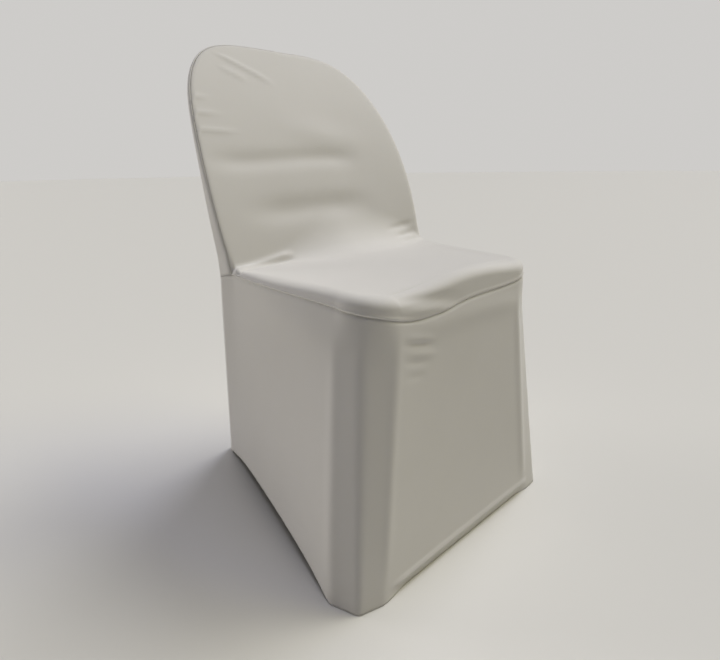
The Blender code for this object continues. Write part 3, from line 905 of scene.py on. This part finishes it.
def lay_sheet(name, rows, across, along, folds, shape):
    """A grid laid on the rows of points, folded, thickened inward and shown."""
    count_along, count_across = rows.shape[:2]
    cloth = bmesh.new()
    bmesh.ops.create_grid(cloth, x_segments=count_across - 1, y_segments=count_along - 1, size=1)
    places = rows.reshape(-1, 3) - shape.origin
    laid = cloth.verts.layers.float_vector.new("laid")
    for vert, place, over, down in zip(cloth.verts, places, across.ravel(), along.ravel()):
        vert.co = place
        vert[laid] = (over, down, 0.0)
    gone = [vert for vert, place in zip(cloth.verts, places) if np.isnan(place[0])]
    bmesh.ops.delete(cloth, geom=gone, context="VERTS")
    bmesh.ops.remove_doubles(cloth, verts=cloth.verts, dist=MERGE_DISTANCE)
    bmesh.ops.dissolve_degenerate(cloth, edges=cloth.edges, dist=MERGE_DISTANCE)
    cloth.normal_update()
    over, down = np.array([vert[laid].xy for vert in cloth.verts]).T
    for vert, rise in zip(cloth.verts, fold_rise(folds, over, down)):
        vert.co += vert.normal * rise
    uv = cloth.loops.layers.uv.new("cloth")
    for face in cloth.faces:
        for loop in face.loops:
            loop[uv].uv = loop.vert[laid].xy
    mesh = bpy.data.meshes.new(name)
    cloth.to_mesh(mesh)
    cloth.free()
    mesh.shade_smooth()
    piece = placed(name, mesh)
    shell = piece.modifiers.new("Thickness", "SOLIDIFY")
    shell.thickness = shape.size.sheet
    shell.offset = -1.0
    return piece


def add_node(tree, kind, settings=None, inputs=None):
    """A shader node with its settings, and its inputs set to values or linked to sockets."""
    node = tree.nodes.new(kind)
    for name, value in (settings or {}).items():
        setattr(node, name, value)
    for name, value in (inputs or {}).items():
        if isinstance(value, bpy.types.NodeSocket):
            tree.links.new(value, node.inputs[name])
        else:
            node.inputs[name].default_value = value
    return node


def stretch_jersey(colours):
    """Knitted polyester and elastane jersey, heat set: matt, with a faint silky sheen.

    Its ribs lie 0.4 mm apart and would vanish in the render, so they are drawn three times
    as coarse, and low.
    """
    name = "ivory_stretch_jersey"
    if name in bpy.data.materials:
        return bpy.data.materials[name]
    material = bpy.data.materials.new(name)
    material.use_nodes = True
    tree = material.node_tree
    tree.nodes.clear()
    place = add_node(tree, "ShaderNodeTexCoord")
    soft = add_node(tree, "ShaderNodeTexNoise", inputs={
        "Vector": place.outputs["Object"], "Scale": 9.0, "Detail": 3.0, "Roughness": 0.5
    })
    tone = add_node(tree, "ShaderNodeMix", {"data_type": "RGBA"}, {"Factor": soft.outputs["Fac"]})
    tone.inputs[6].default_value = (*colours.cloth, 1.0)
    tone.inputs[7].default_value = (*colours.cloth_shade, 1.0)
    bands = {"wave_type": "BANDS", "bands_direction": "X", "wave_profile": "SIN"}
    ribs = add_node(tree, "ShaderNodeTexWave", bands, {
        "Vector": place.outputs["UV"], "Scale": 2 * math.pi / (RIB_SPACING * WAVES_A_TURN),
        "Distortion": 1.5, "Detail": 1.0, "Detail Scale": 2.0
    })
    bump = add_node(tree, "ShaderNodeBump", inputs={
        "Strength": 0.06, "Distance": 0.0002, "Height": ribs.outputs["Fac"]
    })
    surface = add_node(tree, "ShaderNodeBsdfPrincipled", inputs={
        "Base Color": tone.outputs[2], "Normal": bump.outputs["Normal"], "Roughness": 0.72,
        "IOR": 1.45, "Sheen Weight": 0.15, "Sheen Roughness": 0.4
    })
    add_node(tree, "ShaderNodeOutputMaterial", inputs={"Surface": surface.outputs["BSDF"]})
    return material


def dress(context, piece, node):
    """Gives a sheet its cloth, hangs it under the root, and hides the solid that it stands for."""
    piece.data.materials.append(stretch_jersey(context.scene.cover_colours))
    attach(piece, "root")
    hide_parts(node)


class COVER_OT_front_panel(bpy.types.Operator):
    """Inside back and seat, cut in one"""

    bl_idname = "cover.front_panel"
    bl_label = "Front Panel"

    def execute(self, context):
        shape = Shape(context.scene.cover_sizes)
        rows = front_rows(shape)
        across, along = pattern_places(rows, EDGE_STEPS + ACROSS // 2)
        along = along - along[HOOD_LINES]
        rows, across, along = rows[:, ::-1], across[:, ::-1], along[:, ::-1]
        piece = lay_sheet("front_panel_cloth", rows, across, along, FRONT_FOLDS, shape)
        dress(context, piece, "front_panel")
        return {"FINISHED"}


class COVER_OT_rear_panel(bpy.types.Operator):
    """Back of the hood with its side bands, and the back down to the hem"""

    bl_idname = "cover.rear_panel"
    bl_label = "Rear Panel"

    def execute(self, context):
        shape = Shape(context.scene.cover_sizes)
        rows = rear_rows(shape)
        across, along = pattern_places(rows, BAND_COUNT + ACROSS // 2)
        piece = lay_sheet("rear_panel_cloth", rows, across, along, REAR_FOLDS, shape)
        dress(context, piece, "rear_panel")
        return {"FINISHED"}


class COVER_OT_skirt(bpy.types.Operator):
    """Near side, front and far side, cut in one strip"""

    bl_idname = "cover.skirt"
    bl_label = "Skirt"

    def execute(self, context):
        shape = Shape(context.scene.cover_sizes)
        rows = skirt_rows(shape, front_rows(shape)).transpose(1, 0, 2)
        across, _ = pattern_places(rows, 0)
        across = np.broadcast_to(across[TUCK_STEPS], across.shape)
        piece = lay_sheet("skirt_cloth", rows, across, rows[..., 2], SKIRT_FOLDS, shape)
        dress(context, piece, "skirt")
        return {"FINISHED"}


# The camera stands where the photograph was taken: its place above the floor and its angles
CAMERA_PLACE = (-0.5564, -0.6098, 0.5958)
CAMERA_YAW = 41.6821
CAMERA_PITCH = -19.52
CAMERA_ROLL = -0.8678
FOCAL_PIXELS = 479.118
IMAGE_WIDTH = 720
MIDDLE_OFF_RIGHT = 1.1654
MIDDLE_OFF_DOWN = 3.1757

# Soft lamps, each by where it stands: degrees round from the front towards +X, and above the
# floor. spread is the angle that the lamp fills.
Lamp = namedtuple("Lamp", "name round above spread strength tint")
LAMPS = (
    Lamp("right", 85, 51, 35, 1.74, "ECEFFF"),
    Lamp("warm", 60, 48, 35, 1.04, "FFF8C4"),
    Lamp("top", 0, 88, 35, 0.96, "F2F2FF"),
    Lamp("rear", -150, 6, 30, 1.66, "FFFBF6"),
)
BACKGROUND_GLOW = 0.615


def direction(turn, above):
    """The way to a point, by its angle from +Y towards +X and its angle above level."""
    flat = math.cos(above)
    return Vector((math.sin(turn) * flat, math.cos(turn) * flat, math.sin(above)))


def camera_axes():
    """The ways to the camera's right, up and back."""
    yaw = math.radians(CAMERA_YAW)
    roll = math.radians(CAMERA_ROLL)
    ahead = direction(yaw, math.radians(CAMERA_PITCH))
    right = direction(yaw + math.pi / 2, 0.0)
    upward = right.cross(ahead)
    side = right * math.cos(roll) + upward * math.sin(roll)
    top = upward * math.cos(roll) - right * math.sin(roll)
    return side, top, -ahead


class COVER_OT_stage(bpy.types.Operator):
    """Pale floor, soft light and the camera"""

    bl_idname = "cover.stage"
    bl_label = "Stage"

    def execute(self, context):
        shape = Shape(context.scene.cover_sizes)
        scene = context.scene
        side, top, back = camera_axes()
        place = Vector(CAMERA_PLACE) - Vector(shape.origin)
        camera_data = bpy.data.cameras.new("camera")
        camera_data.sensor_width = 36.0
        camera_data.lens = FOCAL_PIXELS / IMAGE_WIDTH * camera_data.sensor_width
        camera_data.shift_x = -MIDDLE_OFF_RIGHT / IMAGE_WIDTH
        camera_data.shift_y = MIDDLE_OFF_DOWN / IMAGE_WIDTH
        camera = placed("camera", camera_data)
        camera.matrix_world = Matrix(
            [(*row, value) for row, value in zip(zip(side, top, back), place)] + [(0, 0, 0, 1)]
        )
        scene.camera = camera

        for lamp in LAMPS:
            light = bpy.data.lights.new(lamp.name, "SUN")
            light.angle = math.radians(lamp.spread)
            light.energy = lamp.strength
            light.color = linear_colour(lamp.tint)
            stand = placed(lamp.name, light)
            way = direction(math.radians(180 - lamp.round), math.radians(lamp.above))
            stand.rotation_mode = "QUATERNION"
            stand.rotation_quaternion = way.to_track_quat("Z", "Y")

        ground = bmesh.new()
        bmesh.ops.create_circle(ground, cap_ends=True, segments=FLOOR_SIDES, radius=FLOOR_RADIUS)
        for vert in ground.verts:
            vert.co.z = -shape.origin[2] - FLOOR_GAP
        mesh = bpy.data.meshes.new("floor")
        ground.to_mesh(mesh)
        ground.free()
        floor = placed("floor", mesh)
        paint = bpy.data.materials.new("matt_white_paint")
        paint.use_nodes = True
        surface = paint.node_tree.nodes["Principled BSDF"]
        surface.inputs["Base Color"].default_value = (*scene.cover_colours.floor, 1.0)
        surface.inputs["Roughness"].default_value = 0.9
        surface.inputs["Specular IOR Level"].default_value = 0.2
        mesh.materials.append(paint)

        world = bpy.data.worlds.new("studio")
        scene.world = world
        world.use_nodes = True
        tree = world.node_tree
        sky = tree.nodes["Background"]
        sky.inputs["Color"].default_value = (*scene.cover_colours.background, 1.0)
        path = add_node(tree, "ShaderNodeLightPath")
        glow = add_node(tree, "ShaderNodeMapRange", inputs={
            "Value": path.outputs["Is Camera Ray"], "To Min": 0.0, "To Max": BACKGROUND_GLOW
        })
        tree.links.new(glow.outputs["Result"], sky.inputs["Strength"])
        scene.view_settings.view_transform = "Standard"
        return {"FINISHED"}


class COVER_PT_pieces(bpy.types.Panel):
    """Lists the cover's pieces and sizes"""

    bl_idname = "COVER_PT_pieces"
    bl_label = "Chair Cover"
    bl_space_type = "VIEW_3D"
    bl_region_type = "UI"
    bl_category = "Chair Cover"

    def draw(self, context):
        for step in STEPS:
            self.layout.operator(step.bl_idname)
        for group in (context.scene.cover_sizes, context.scene.cover_colours):
            for name in group.__annotations__:
                self.layout.prop(group, name)


STEPS = (COVER_OT_front_panel, COVER_OT_rear_panel, COVER_OT_skirt, COVER_OT_stage)
CLASSES = (CoverSizes, CoverColours, *STEPS, COVER_PT_pieces)


def register():
    for one in CLASSES:
        bpy.utils.register_class(one)
    bpy.types.Scene.cover_sizes = bpy.props.PointerProperty(type=CoverSizes)
    bpy.types.Scene.cover_colours = bpy.props.PointerProperty(type=CoverColours)


def unregister():
    del bpy.types.Scene.cover_colours
    del bpy.types.Scene.cover_sizes
    for one in reversed(CLASSES):
        bpy.utils.unregister_class(one)


def main():
    register()
    bpy.ops.cover.front_panel()
    bpy.ops.cover.rear_panel()
    bpy.ops.cover.skirt()
    bpy.ops.cover.stage()


if __name__ == "__main__":
    main()
